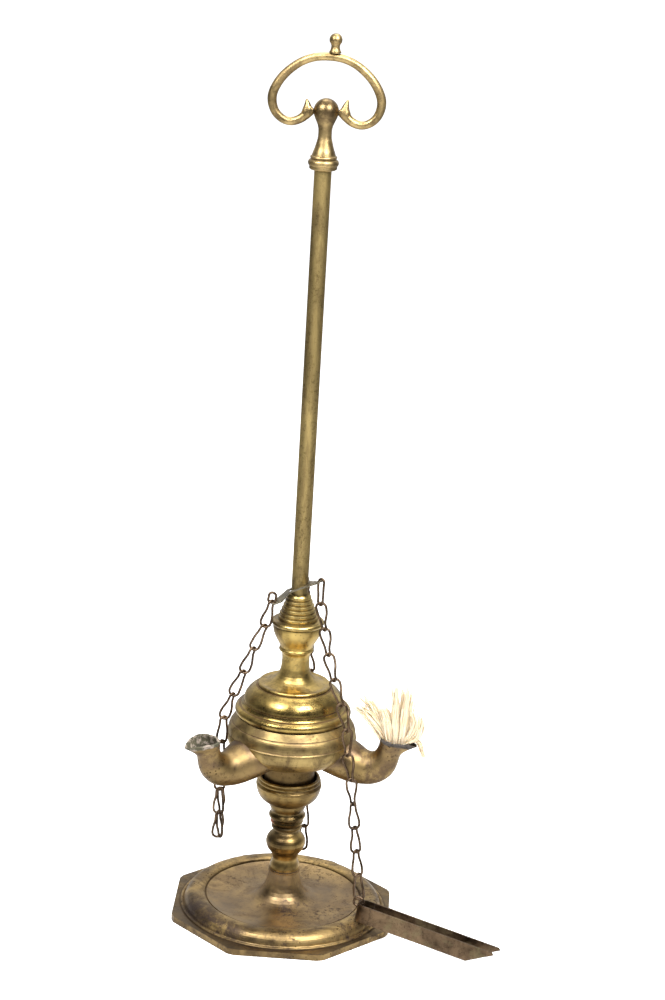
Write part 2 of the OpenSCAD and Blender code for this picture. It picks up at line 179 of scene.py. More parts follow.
class Tree:
    """Short ways to add nodes to a material."""

    def __init__(self, name):
        self.mat = bpy.data.materials.new(name)
        self.mat.use_nodes = True
        self.nt = self.mat.node_tree
        self.bsdf = self.nt.nodes["Principled BSDF"]
        self.coord = self.nt.nodes.new("ShaderNodeTexCoord").outputs["Object"]

    def link(self, a, b):
        self.nt.links.new(a, b)

    def put(self, socket, value):
        if isinstance(value, bpy.types.NodeSocket):
            self.link(value, socket)
        else:
            socket.default_value = value

    def scaled(self, scale):
        m = self.nt.nodes.new("ShaderNodeMapping")
        m.inputs["Scale"].default_value = scale
        self.link(self.coord, m.inputs["Vector"])
        return m.outputs["Vector"]

    def noise(self, scale, detail=4, rough=0.55, distort=0.0, vector=None):
        n = self.nt.nodes.new("ShaderNodeTexNoise")
        n.inputs["Scale"].default_value = scale
        n.inputs["Detail"].default_value = detail
        n.inputs["Roughness"].default_value = rough
        n.inputs["Distortion"].default_value = distort
        self.link(vector or self.coord, n.inputs["Vector"])
        return n.outputs["Fac"]

    def cells(self, scale):
        n = self.nt.nodes.new("ShaderNodeTexVoronoi")
        n.inputs["Scale"].default_value = scale
        self.link(self.coord, n.inputs["Vector"])
        return n.outputs["Distance"]

    def span(self, value, lo, hi, to_lo=0.0, to_hi=1.0):
        """A smooth step of value, from to_lo at lo to to_hi at hi."""
        n = self.nt.nodes.new("ShaderNodeMapRange")
        n.interpolation_type = "SMOOTHSTEP"
        self.put(n.inputs["Value"], value)
        for key, v in (("From Min", lo), ("From Max", hi), ("To Min", to_lo), ("To Max", to_hi)):
            self.put(n.inputs[key], v)
        return n.outputs["Result"]

    def math(self, op, a, b=0.0, clamp=False):
        n = self.nt.nodes.new("ShaderNodeMath")
        n.operation = op
        n.use_clamp = clamp
        self.put(n.inputs[0], a)
        self.put(n.inputs[1], b)
        return n.outputs[0]

    def mix(self, fac, a, b):
        """Colour a where fac is 0, and b where it is 1."""
        n = self.nt.nodes.new("ShaderNodeMix")
        n.data_type = "RGBA"
        self.put(n.inputs["Factor"], fac)
        for socket, value in ((COLOR_A, a), (COLOR_B, b)):
            self.put(n.inputs[socket], (*value, 1) if isinstance(value, tuple) else value)
        return n.outputs[COLOR_OUT]

    def ramp(self, fac, stops):
        n = self.nt.nodes.new("ShaderNodeValToRGB")
        r = n.color_ramp
        while len(r.elements) < len(stops):
            r.elements.new(0.5)
        for e, (pos, col) in zip(r.elements, stops):
            e.position = pos
            e.color = (*col, 1)
        self.link(fac, n.inputs["Fac"])
        return n.outputs["Color"]

    def hollows(self, distance):
        """1 in the open, falling to 0 in hollows narrower than distance."""
        n = self.nt.nodes.new("ShaderNodeAmbientOcclusion")
        n.samples = AO_SAMPLES
        n.inputs["Distance"].default_value = distance
        return n.outputs["AO"]

    def axis(self, name):
        n = self.nt.nodes.new("ShaderNodeSeparateXYZ")
        self.link(self.coord, n.inputs["Vector"])
        return n.outputs[name]

    def radius(self):
        """Distance from the lamp's axis."""
        x, y = self.axis("X"), self.axis("Y")
        return self.math("SQRT",
                         self.math("ADD", self.math("MULTIPLY", x, x), self.math("MULTIPLY", y, y)))

    def band(self, value, middle, half):
        """1 at middle, falling to 0 at half away on each side."""
        off = self.math("ABSOLUTE", self.math("SUBTRACT", value, middle))
        return self.span(off, 0.0, half, 1.0, 0.0)

    def bump(self, heights):
        """heights are (value, depth in metres) from the coarsest to the finest."""
        normal = None
        for value, depth in heights:
            b = self.nt.nodes.new("ShaderNodeBump")
            b.inputs["Strength"].default_value = 1.0
            b.inputs["Distance"].default_value = depth
            self.link(value, b.inputs["Height"])
            if normal:
                self.link(normal, b.inputs["Normal"])
            normal = b.outputs["Normal"]
        self.link(normal, self.bsdf.inputs["Normal"])

    def done(self, color, metallic, rough):
        self.put(self.bsdf.inputs["Base Color"], color)
        self.put(self.bsdf.inputs["Metallic"], metallic)
        self.put(self.bsdf.inputs["Roughness"], rough)
        return self.mat


def old_brass(name, bright, middle, dark, grime=0.5, rough=(0.26, 0.4), pits=0.4, streak=None,
              extra=None, hollow=0.005, scale=1.0, stain=STAIN, stained=0.45, dents=1.0):
    """Old brass: clouds of three tones, brown stains, dark specks and pits, and grime in hollows.

    rough is the range of roughness, streak stretches the clouds, and extra is a layer on top."""
    t = Tree(name)
    vec = t.scaled(streak) if streak else t.coord
    clouds = t.noise(24 * scale, 4, 0.55, 0.4, vec)
    mottle = t.noise(110 * scale, 5, 0.6, 0.3, vec)
    fine = t.noise(900, 3, 0.6)
    tone = t.math("ADD", t.math("MULTIPLY", clouds, 0.72), t.math("MULTIPLY", mottle, 0.28))
    color = t.ramp(tone, [(0.38, dark), (0.49, middle), (0.6, bright)])
    rust = t.span(t.noise(45 * scale, 8, 0.75, 0.8, vec), 0.47, 0.6)
    color = t.mix(t.math("MULTIPLY", rust, stained), color, stain)
    speck = t.span(t.noise(520, 5, 0.75), 0.5, 0.62, 0.0, 0.5)
    color = t.mix(t.math("MULTIPLY", speck, t.span(mottle, 0.6, 0.4)), color,
                  tuple(c * 0.4 for c in dark))
    patch = t.span(t.noise(38, 3, 0.6), 0.44, 0.6)
    spots = t.math("MULTIPLY", t.span(t.cells(430 * scale), 0.26, 0.14),
                   t.math("MULTIPLY", patch, pits))
    color = t.mix(spots, color, tuple(c * 0.3 for c in dark))
    ao = t.hollows(hollow)
    dirt = t.span(ao, 0.2, 0.9, 1.0, 0.0)
    dirt = t.math("MULTIPLY", dirt, t.span(mottle, 0.3, 0.6, 0.8, 1.0))
    dirt = t.math("MULTIPLY", dirt, grime, True)
    color = t.mix(dirt, color, GRIME)
    r = t.span(t.math("ADD", t.math("MULTIPLY", clouds, 0.5), t.math("MULTIPLY", mottle, 0.5)),
               0.36, 0.64, *rough)
    r = t.math("ADD", r, t.math("MULTIPLY", dirt, 0.3))
    r = t.math("ADD", r, t.math("MULTIPLY", rust, 0.1 * stained + 0.05))
    r = t.math("ADD", r, t.math("MULTIPLY", spots, 0.2), True)
    metal = t.math("SUBTRACT", 1.0, t.math("MULTIPLY", dirt, 0.6))
    if extra:
        color, r, metal = extra(t, color, r, metal, mottle)
    t.bump([(clouds, 0.00022 * dents), (mottle, 0.000035 * dents), (fine, 0.000004),
            (t.math("MULTIPLY", spots, -1.0), 0.00003)])
    return t.done(color, metal, r)


def paint_lines(lines, color, strength=0.75):
    """An extra layer that darkens engraved rings. lines are (height, half width) in mm."""
    def layer(t, col, r, metal, mottle):
        z = t.axis("Z")
        total = None
        for height, half in lines:
            band = t.band(z, height * MM, half * MM)
            total = t.math("ADD", total, band, True) if total else band
        worn = t.math("MULTIPLY", total, t.span(mottle, 0.3, 0.55, 0.5 * strength, strength))
        return t.mix(worn, col, color), t.math("ADD", r, t.math("MULTIPLY", worn, 0.2), True), metal
    return layer


def solder_spot(t, col, r, metal, mottle):
    """Red solder on the left of the joint over the baluster, a cup darkened by dirt and by painted
    shadow under the reservoir, and a pale line.
    """
    z, x = t.axis("Z"), t.axis("X")
    spot = t.math("MULTIPLY", t.band(z, 54.8 * MM, 1.6 * MM), t.span(x, -6 * MM, -8.5 * MM))
    col = t.mix(t.math("MULTIPLY", spot, t.span(mottle, 0.35, 0.5)), col, RED_SOLDER)
    # Painted shadow of the reservoir above, with dirt: a dark band round the cup at z 69 mm, broken
    # by the mottle
    cup = t.math("MULTIPLY", t.band(z, 69 * MM, 9 * MM), t.span(mottle, 0.35, 0.6, 0.8, 0.4))
    col = t.mix(cup, col, CUP_DIRT_AND_SHADOW)
    pale = t.math("MULTIPLY", t.band(z, 25.4 * MM, 0.45 * MM), 0.6)
    return t.mix(pale, col, PALE_SOLDER), r, metal


def base_layers(t, col, r, metal, mottle):
    """A browner tray, clusters of dark spots, painted shade with spots on the left front of the
    roll, dark rings beside the roll and a dark flat edge.
    """
    rad = t.radius()
    z = t.axis("Z")
    tray = t.span(rad, 43.6 * MM, 42 * MM)
    col = t.mix(t.math("MULTIPLY", tray, 0.45), col, TRAY_BROWN)
    clusters = t.math("MULTIPLY", t.span(t.noise(30, 3, 0.6), 0.48, 0.64),
                      t.span(t.noise(240, 7, 0.8), 0.5, 0.64))
    x, y = t.axis("X"), t.axis("Y")
    # Spots at the foot of the flare in front; on the left front of the roll, spots and painted
    # shade
    near = t.math("MULTIPLY", t.band(x, 2 * MM, 11 * MM), t.band(y, -18 * MM, 8 * MM))
    left = t.math("MULTIPLY", t.band(rad, 53 * MM, 9 * MM),
                  t.span(t.math("SUBTRACT", x, y), 60 * MM, 15 * MM))
    left = t.math("MULTIPLY", left, t.span(y, -5 * MM, -25 * MM))
    spot_and_shade_marks = t.math("MULTIPLY", t.math("ADD", near, left, True),
                   t.span(t.noise(150, 7, 0.8), 0.42, 0.55))
    clusters = t.math("ADD", clusters, spot_and_shade_marks, True)
    # Dark spot clusters, together with the painted shade on the left front of the roll
    col = t.mix(t.math("MULTIPLY", clusters, 0.85), col, BLACK_SPOT_AND_SHADE)
    ring = t.math("MULTIPLY", t.band(rad, 43.3 * MM, 0.8 * MM), 0.8)
    foot = t.math("MULTIPLY", t.band(rad, 57.6 * MM, 0.9 * MM), 0.8)
    dark = t.math("ADD", ring, foot, True)
    col = t.mix(dark, col, BASE_RING)
    top = t.math("MULTIPLY", t.span(rad, 57.0 * MM, 57.8 * MM), t.span(z, 3.3 * MM, 3.55 * MM))
    edge = t.math("MULTIPLY", top, t.span(mottle, 0.35, 0.6, 0.95, 0.65))
    col = t.mix(edge, col, BASE_EDGE)
    r = t.math("ADD", r, t.math("MULTIPLY", clusters, 0.2), True)
    return col, t.math("ADD", r, t.math("MULTIPLY", dark, 0.2), True), metal


def soot(direction, color, color2, strength):
    """Residue of two colours in a spout's mouth, and brown at its root, neck and seam.

    direction is the spout's, in degrees."""
    a = math.radians(direction)

    def layer(t, col, r, metal, mottle):
        x, y, z = t.axis("X"), t.axis("Y"), t.axis("Z")
        along = t.math("ADD", t.math("MULTIPLY", x, math.cos(a)),
                       t.math("MULTIPLY", y, math.sin(a)))
        across = t.math("SUBTRACT", t.math("MULTIPLY", y, math.cos(a)),
                        t.math("MULTIPLY", x, math.sin(a)))
        inner = t.nt.nodes.new("ShaderNodeAttribute")
        inner.attribute_name = "inside"
        inside = t.math("MULTIPLY", inner.outputs["Fac"], t.span(z, 100 * MM, 108 * MM))
        edge = t.noise(260, 5, 0.7)
        mask = t.math("MULTIPLY",
                      t.span(t.math("ADD", inside, t.math("MULTIPLY", edge, 0.5)), 0.55, 0.8),
                      strength)
        rest = t.mix(t.span(t.noise(330, 5, 0.7), 0.38, 0.52), color, color2)
        root = t.math("MULTIPLY", t.span(along, 50 * MM, 42 * MM),
                      t.span(z, 95 * MM, 100 * MM, 0.0, 0.75))
        neck = t.math("MULTIPLY", t.span(along, 50 * MM, 54 * MM),
                      t.span(z, 96 * MM, 102 * MM, 0.0, 0.6))
        col = t.mix(t.math("MULTIPLY", t.math("ADD", root, neck, True), t.span(mottle, 0.65, 0.35)),
                    col, SPOUT_ROOT)
        col = t.mix(mask, col, rest)
        deep = t.math("MULTIPLY", inner.outputs["Fac"], t.span(z, 112 * MM, 106 * MM))
        col = t.mix(deep, col, SPOUT_THROAT)
        beside = t.span(t.math("ABSOLUTE", across), 6 * MM, 12 * MM)
        seam = t.math("MULTIPLY", t.span(along, 40 * MM, 30 * MM), beside)
        col = t.mix(t.math("MULTIPLY", seam, t.span(mottle, 0.45, 0.6, 0.0, 0.45)), col, SPOUT_SEAM)
        return col, t.math("ADD", r, t.math("MULTIPLY", mask, 0.4), True), \
            t.math("SUBTRACT", metal, t.math("MULTIPLY", mask, 0.9), True)
    return layer


def residue(t, col, r, metal, mottle):
    """Dull greenish residue in patches on the tweezers."""
    mask = t.math("MULTIPLY", t.span(t.noise(75, 5, 0.65), 0.5, 0.64), 0.4)
    col = t.mix(mask, col, GREEN_RESIDUE)
    return col, t.math("ADD", r, t.math("MULTIPLY", mask, 0.3), True), \
        t.math("SUBTRACT", metal, t.math("MULTIPLY", mask, 0.5), True)


lid_lines = paint_lines([(125.5, 0.5), (123.1, 0.45), (118.0, 0.5), (134.5, 0.4)], LID_LINE)
bowl_rings = paint_lines([(113.5, 0.4), (107.2, 0.35)], BOWL_LINE, 0.7)


def bowl_lines(t, col, r, metal, mottle):
    """Duller brass on the bowl's shoulder, then its engraved rings."""
    dull = t.math("MULTIPLY", t.span(t.axis("Z"), 104 * MM, 109 * MM),
                  t.span(mottle, 0.35, 0.6, 0.6, 0.25))
    return bowl_rings(t, t.mix(dull, col, DULL_SHOULDER), r, metal, mottle)


BOWL_TONES = ((0.66, 0.49, 0.2), (0.48, 0.35, 0.14), (0.22, 0.155, 0.065))
SPOUT_TONES = ((0.4, 0.28, 0.115), (0.25, 0.17, 0.075), (0.09, 0.06, 0.03))

bowl_mat = old_brass("brass_bowl", *BOWL_TONES, extra=bowl_lines, stained=0.6, rough=(0.34, 0.48),
                     pits=0.6)
lid_mat = old_brass("brass_lid", (0.66, 0.48, 0.15), (0.47, 0.33, 0.1), (0.22, 0.15, 0.05),
                    rough=(0.2, 0.32), extra=lid_lines, stained=0.45, pits=0.6)
neck_mat = old_brass("brass_neck", (0.6, 0.43, 0.14), (0.43, 0.3, 0.1), (0.2, 0.135, 0.05),
                     rough=(0.24, 0.36), grime=0.6)
cap_mat = old_brass("brass_cap", (0.64, 0.48, 0.18), (0.45, 0.33, 0.12), (0.22, 0.15, 0.06),
                    rough=(0.24, 0.36), grime=0.75, hollow=0.003)
stem_mat = old_brass("brass_stem", (0.5, 0.345, 0.125), (0.28, 0.19, 0.07), (0.09, 0.06, 0.024),
                     grime=0.8, extra=solder_spot, hollow=0.004)
base_mat = old_brass("brass_base", (0.5, 0.345, 0.14), (0.33, 0.225, 0.095), (0.125, 0.085, 0.042),
                     pits=0.8, rough=(0.32, 0.46), extra=base_layers, stained=0.6)
rod_mat = old_brass("brass_rod", (0.56, 0.42, 0.17), (0.42, 0.31, 0.125), (0.2, 0.145, 0.06),
                    streak=(1.0, 1.0, 0.2), rough=(0.38, 0.5), scale=1.7, stained=0.4, dents=0.5)
handle_mat = old_brass("brass_handle", (0.6, 0.44, 0.2), (0.43, 0.31, 0.14), (0.18, 0.125, 0.06),
                       scale=1.6, hollow=0.003, rough=(0.34, 0.46))
dark_mat = old_brass("brass_dark", (0.32, 0.215, 0.09), (0.19, 0.125, 0.05), (0.06, 0.04, 0.018),
                     rough=(0.4, 0.6))
plate_mat = old_brass("sheet_plate", (0.4, 0.35, 0.26), (0.26, 0.23, 0.165), (0.11, 0.09, 0.06),
                      rough=(0.34, 0.5), scale=2.0)
wire_mat = old_brass("chain_wire", (0.22, 0.15, 0.095), (0.135, 0.09, 0.058), (0.05, 0.033, 0.022),
                     rough=(0.3, 0.46), scale=3.0, hollow=0.0015, dents=0.4)
tweezers_mat = old_brass("tweezers_strip", (0.23, 0.155, 0.09), (0.15, 0.1, 0.06),
                         (0.065, 0.043, 0.026), rough=(0.36, 0.5), extra=residue, scale=1.8,
                         dents=0.6)


def spout_brass(name, direction, color, color2, strength):
    """Darker brass, with the residue of its own mouth."""
    return old_brass(name, *SPOUT_TONES, extra=soot(direction, color, color2, strength),
                     stained=0.75, pits=0.9, rough=(0.34, 0.5), stain=SPOUT_STAIN)


def cotton():
    t = Tree("wick_cotton")
    fibre = t.noise(1400, 4, 0.7, 0.0, t.scaled((1, 1, 0.2)))
    soft = t.noise(160, 3, 0.6)
    color = t.mix(fibre, (0.74, 0.58, 0.37), (0.89, 0.77, 0.56))
    color = t.mix(t.span(soft, 0.4, 0.65, 0.0, 0.55), color, (0.88, 0.77, 0.58))
    color = t.mix(t.span(t.axis("Z"), 119 * MM, 113 * MM, 0.0, 0.45), color, (0.68, 0.53, 0.33))
    t.bump([(fibre, 0.00015)])
    t.bsdf.inputs["Sheen Weight"].default_value = 0.4
    t.bsdf.inputs["Subsurface Weight"].default_value = 0.25
    t.bsdf.inputs["Subsurface Radius"].default_value = (0.004, 0.003, 0.002)
    return t.done(color, 0.0, 0.9)


wick_mat = cotton()

by_slot = {
    "base_brass": base_mat, "stem_brass": stem_mat, "rod_brass": rod_mat, "bowl_brass": bowl_mat,
    "polished_brass": lid_mat, "dark_brass": dark_mat, "plate_metal": plate_mat,
    "chain_wire": wire_mat, "tweezers_brass": tweezers_mat, "wick_cotton": wick_mat,
}
slot_of = {s["node"]: s["material_slot"] for s in record["subparts"]}

mat_of = {
    "handle_socket": handle_mat, "handle_loop": handle_mat, "handle_finial": handle_mat,
    "lid_neck": neck_mat, "ringed_cap": cap_mat,
}
for node, ob in nodes.items():
    ob.data.materials.clear()
    ob.data.materials.append(mat_of.get(node, by_slot[slot_of[node]]))


SHARP = 35  # degrees between the faces of an edge that is worn


def worn_edges(node, width):
    """Rounds the sharp edges, which catch the light as worn brass does. width is in mm."""
    bevel = nodes[node].modifiers.new("worn_edges", "BEVEL")
    bevel.width = width * MM
    bevel.segments = 2
    bevel.limit_method = "ANGLE"
    bevel.angle_limit = math.radians(SHARP)
    bevel.harden_normals = True


worn_edges("base_foot", 0.35)
for node in ("tweezers_head", "tweezers_arm_near", "tweezers_arm_far"):
    worn_edges(node, 0.12)


# ---------- spouts ----------

SPOUT_TURN = -18.5  # direction of the right spout from X, in degrees
# Sections of a spout, in mm, where s is the distance from the axis: lower point s, z; upper point
# s, z; half width; pinch of the lip; rise of the rim
SPOUT = [
    [23, 90, 26, 107, 15.4, 0, 0], [28.5, 87.8, 30, 109, 14.6, 0, 0],
    [33.5, 86.2, 34, 108.7, 12.9, 0, 0], [38.8, 85.3, 38.6, 107, 10.9, 0, 0],
    [44, 85.5, 42.7, 104.8, 9.4, 0, 0], [49.5, 86.6, 45.6, 104.3, 8.6, 0, 0],
    [54.6, 89.2, 47.8, 104.9, 8, 0, 0], [58.6, 93, 49.3, 106.2, 7.3, 0, 0],
    [61, 97.2, 50.3, 108, 6.8, 0, 0], [62.3, 101.6, 51, 110, 6.6, 0.06, 0],
    [63.3, 105.3, 51.5, 111.7, 6.8, 0.16, 0.2], [66, 108.4, 51.9, 113.4, 7.4, 0.32, 0.6],
    [72.3, 112.4, 52.3, 115.3, 7.9, 0.45, 1.3],
]
SPOUT_WALL = 1.5
SPOUT_SIDES = 64
SPOUT_STEPS = 5   # rings from each section to the next
RIM_BULGE = 0.45
RIM_FADE = 0.22   # of the residue, from ring to ring outside the rim


def spout_ring(q, inset, rough):
    """One ring of a spout, inset from its outline and ragged by up to rough mm."""
    low, up = Vector((q[0], q[1])), Vector((q[2], q[3]))
    mid, half = (low + up) / 2, (up - low) / 2
    k = 1 - inset / half.length
    ring = []
    for j in range(SPOUT_SIDES):
        w = 2 * math.pi * j / SPOUT_SIDES
        p = mid + half * (k * math.cos(w))
        rise = q[6] * math.sin(w) ** 2 * (1 - math.cos(w)) / 2
        ragged = rough * (math.sin(5 * w + rough) * 0.4 + math.sin(11 * w + 2) * 0.35
                          + math.sin(23 * w) * 0.2)
        ring.append([p.x, (q[4] - inset) * math.sin(w) * (1 + q[5] * math.cos(w)),
                     p.y + rise + ragged])
    return ring


def spout(node, direction, rough, mat):
    """A cast spout, from inside the bowl to the lip: outer wall, ragged rim and inner wall."""
    a = math.radians(direction)
    rows = curve_through(SPOUT, SPOUT_STEPS)
    last = rows[-1]
    rings = [spout_ring(q, 0.0, 0.0) for q in rows[:-1]]
    rings.append(spout_ring(last, 0.0, rough))
    for step in (0.25, 0.5, 0.75):
        bulge = RIM_BULGE * math.sin(math.pi * step)
        ring = spout_ring(last, SPOUT_WALL * step, rough)
        rings.append([[p[0], p[1], p[2] + bulge] for p in ring])
    rim = len(rings) - 4
    rings += [spout_ring(q, SPOUT_WALL, rough if q is last else 0.0) for q in reversed(rows)]
    verts = []
    for ring in rings:
        for s, y, z in ring:
            verts.append((MM * (s * math.cos(a) - y * math.sin(a)),
                          MM * (s * math.sin(a) + y * math.cos(a)), MM * z))
    faces = grid_faces(len(rings), SPOUT_SIDES, close_rows=True)
    ob = mesh_object(node + "_cast", verts, faces, "reservoir", "bowl_brass", mat)
    # Read by soot(): 1 from the rim inwards, and fading over the rings outside it
    inside = [min(max(1 + (i // SPOUT_SIDES - rim) * RIM_FADE, 0), 1) for i in range(len(verts))]
    ob.data.attributes.new("inside", "FLOAT", "POINT").data.foreach_set("value", inside)
    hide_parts(node)


# Name, direction, raggedness of the rim, and the two colours and strength of the residue
for node, direction, rough, color, color2, strength in (
        ("spout_right", SPOUT_TURN, 0.45, (0.02, 0.018, 0.018), (0.07, 0.06, 0.055), 0.95),
        ("spout_left", SPOUT_TURN - 120, 0.22, (0.42, 0.35, 0.29), (0.07, 0.07, 0.045), 0.9),
        ("spout_back", SPOUT_TURN + 120, 0.2, (0.3, 0.24, 0.16), (0.1, 0.09, 0.06), 0.8)):
    spout(node, direction, rough, spout_brass("brass_" + node, direction, color, color2, strength))


# ---------- wick ----------

# Locks of cotton in the plane of the right spout: points (s, z) in mm, sideways place, radius at
# foot and tip
LOCKS = [
    ([(57, 108), (54.5, 114), (50.5, 120.5), (44, 127), (36.7, 131.5)], -2.6, 1.5, 0.8),
    ([(57.5, 108), (55, 115), (51, 123), (45, 131), (38.1, 136.4)], 1.0, 1.1, 0.4),
    ([(58, 108), (56, 115.5), (52.5, 123.5), (47.5, 131), (43, 135.5)], -0.8, 1.3, 0.6),
    ([(57, 109), (54.6, 115), (50.5, 120), (45.5, 125.5), (43.6, 129)], 2.8, 1.2, 0.5),
    ([(59, 109), (57.6, 117), (55.5, 125), (51.1, 133)], -2.8, 1.4, 0.5),
    ([(59.5, 109), (58.2, 117), (55, 124.5), (51, 130)], 1.8, 1.2, 0.4),
    ([(60.5, 109), (60.2, 118), (59, 130), (57.1, 144.7)], 0.4, 1.3, 0.7),
    ([(61, 109), (60.8, 118), (60, 127), (59.6, 137)], -3.0, 1.2, 0.4),
    ([(61.5, 109), (62.2, 118), (62.3, 131), (61.4, 143.5)], 2.6, 1.2, 0.5),
    ([(62.5, 109), (64, 117), (65, 131), (67, 147)], -0.6, 1.4, 0.7),
    ([(62.5, 109), (64.4, 116), (65, 126), (65.6, 138)], 2.8, 1.1, 0.4),
    ([(63.5, 110), (67, 115), (70, 120), (71.3, 127), (68.5, 134)], -1.4, 1.4, 0.5),
    ([(63.5, 110), (68.2, 115), (72, 119), (73.5, 125), (72.4, 130)], 1.4, 1.2, 0.4),
    ([(63.5, 110), (68.5, 114.8), (72.6, 117), (74.2, 121), (73.9, 124)], -2.2, 1.2, 0.3),
    ([(64, 111), (69.5, 115.6), (73.8, 114.4), (75.6, 110.5), (77, 107)], -0.4, 0.7, 0.25),
]
STRANDS = 15  # in a lock
HAIRS = 9     # round it
# The plug in the throat: s, z and radius in mm
PLUG = [[50.5, 98.5, 3.0], [54.6, 101.5, 3.2], [57.2, 105.8, 3.6], [58.8, 109.8, 4.0],
        [59.6, 112.4, 3.4], [59.8, 113.6, 1.6]]


def wick():
    """Locks of loose fibres with stray hairs, on a plug that fills the throat."""
    rng = random.Random(11)
    a = math.radians(SPOUT_TURN)
    parts = []

    def place(s, y, z):
        return Vector((MM * (s * math.cos(a) - y * math.sin(a)),
                       MM * (s * math.sin(a) + y * math.cos(a)), MM * z))

    def strand(points, y0, reach, radius, tip, spread, grow):
        """One fibre along the points, which strays by spread and ends at reach, a share of them."""
        path = curve_through([list(p) for p in points], 7)
        n = len(path)
        ph = [rng.uniform(0, 6.28) for _ in range(4)]
        off = [rng.gauss(0, 1), rng.gauss(0, 1)]
        line, radii = [], []
        for i in range(int(n * reach)):
            t = i / (n - 1)
            fan = spread * (0.35 + 0.65 * math.sin(math.pi * min(t * 1.15, 1.0)) + grow * t * t)
            wave = 0.5 * math.sin(6 * t + ph[0]) + 0.2 * math.sin(17 * t + ph[1])
            side = 0.5 * math.sin(5 * t + ph[2]) + 0.2 * math.sin(15 * t + ph[3])
            s, z = path[i]
            line.append(place(s + fan * off[0] + wave * t,
                              y0 * (0.75 + 0.6 * t) + fan * off[1] + side * t,
                              z + 0.35 * fan * off[0]))
            taper = 1 - 0.45 * smoothstep((t - reach + 0.1) / 0.1)
            radii.append(MM * (radius * (1 - t) + tip * t) * taper)
        if len(line) > 3:
            parts.append(tube_mesh(line, radii, 6))

    for points, y, foot, tip in LOCKS:
        for twin in range(2):
            move = [rng.gauss(0, 0.7 * twin) for _ in range(3)]
            near = [(s + move[0] * k / 3, z + move[1] * k / 3) for k, (s, z) in enumerate(points)]
            wide = 0.8 * (foot + tip) / 1.5
            for _ in range(STRANDS):
                strand(near, y + move[2], rng.uniform(0.72, 1.0), 0.32 * foot + 0.1,
                       0.4 * tip + 0.16, wide, 0.35)
            for _ in range(HAIRS):
                strand(near, y + move[2], rng.uniform(0.8, 1.0), 0.12, 0.06, 1.25 * wide, 0.9)
    plug = curve_through(PLUG, 4)
    parts.append(tube_mesh([place(s, 0, z) for s, z, _ in plug], [MM * r for _, _, r in plug], 20))
    ob = mesh_object("cotton_wick", *joined(parts), "reservoir", "wick_cotton", wick_mat)
    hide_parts("wick")


wick()


# ---------- handle ----------

# Right half of the ring's centre line, from its crown round to the ball: x, z and radius in mm
LOOP = [[0, 474.4, 2.1], [8.2, 473.4, 2.1], [15.6, 470, 2.15], [22.6, 463.8, 2.3],
        [26.9, 456.8, 2.4], [27.9, 451.2, 2.4], [26.2, 445.6, 2.25], [22.4, 441.9, 2.15],
        [18, 440.7, 2.15], [13.4, 442.1, 2.3], [9.4, 445.4, 2.5], [6.8, 447.9, 2.2]]
HORN = [[10.6, 443.6, 2.4], [9.9, 446.2, 2.6], [9.7, 449, 2.0]]
HORN_TIPS = {1: [10.9, 453.3, 0.5], -1: [10.3, 452.5, 0.5]}
HANDLE_VOXEL = 0.32


def flat_tube(points, sides, side=1):
    """A tube through points x, z, radius in the plane of the handle, mirrored where side is -1."""
    return tube_mesh([(side * MM * x, 0, MM * z) for x, z, _ in points],
                     [MM * r for _, _, r in points], sides)


def handle():
    """The cast ring with its two horns, fused and smoothed."""
    left = [[-x, z, r] for x, z, r in reversed(LOOP[1:])]
    parts = [flat_tube(curve_through(left + LOOP, 6), 24)]
    for side, tip in HORN_TIPS.items():
        parts.append(flat_tube(curve_through(HORN + [tip], 5), 20, side))
    ob = mesh_object("handle_cast_loop", *joined(parts), "stand", "stem_brass", handle_mat)
    remesh = ob.modifiers.new("fuse", "REMESH")
    remesh.mode = "VOXEL"
    remesh.voxel_size = HANDLE_VOXEL * MM
    remesh.use_smooth_shade = True
    soften = ob.modifiers.new("soften", "SMOOTH")
    soften.factor = 0.5
    soften.iterations = 6
    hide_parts("handle_loop")


handle()


# ---------- chains, hooks and rings of bent wire ----------

# Lengths in mm
WIRE_R = 0.6    # of the wire in the solids, which the links are measured by
DRAWN_R = 0.7   # of the wire that is drawn
WELD = 0.001    # points closer than this are one point
AXIS_STEPS = 30
END_STEPS = 12  # round each end of a link
LEG_STEPS = 9   # along each leg
END_RING = 6    # longest ring at a chain's end; the links are longer
SHORT_HOOK = 6.5  # the left hook is shorter
TWEEZERS_TURN = -16
FRONT_WIDE = 8  # links of the right chain whose upper ends are the wide ones
TAIL = 2        # doubled links at the end of the left chain


def islands(ob):
    """Lists of the points of each separate piece of a mesh."""
    bm = bmesh.new()
    bm.from_mesh(ob.data)
    bmesh.ops.remove_doubles(bm, verts=bm.verts, dist=WELD * MM)
    seen = set()
    out = []
    for first in bm.verts:
        if first in seen:
            continue
        seen.add(first)
        stack = [first]
        group = []
        while stack:
            v = stack.pop()
            group.append(v.co.copy())
            for e in v.link_edges:
                o = e.other_vert(v)
                if o not in seen:
                    seen.add(o)
                    stack.append(o)
        out.append(group)
    bm.free()
    return out


def measure(points):
    """Top and bottom wire centres of an oval of wire, and its flat direction, outwards."""
    mid = sum(points, Vector()) / len(points)
    axis = Vector((0, 0, -1))
    for _ in range(AXIS_STEPS):
        nxt = Vector()
        for p in points:
            nxt += (p - mid) * (p - mid).dot(axis)
        axis = nxt.normalized()
    if axis.z > 0:
        axis = -axis
    spread = [(p - mid).dot(axis) for p in points]
    lo, hi = min(spread), max(spread)
    side, best = Vector(), 0
    for p in points:
        q = (p - mid) - axis * (p - mid).dot(axis)
        if q.length > best:
            side, best = q.normalized(), q.length
    if side.dot(Vector((mid.x, mid.y, 0))) < 0:
        side = -side
    return mid + axis * (lo + WIRE_R * MM), mid + axis * (hi - WIRE_R * MM), side


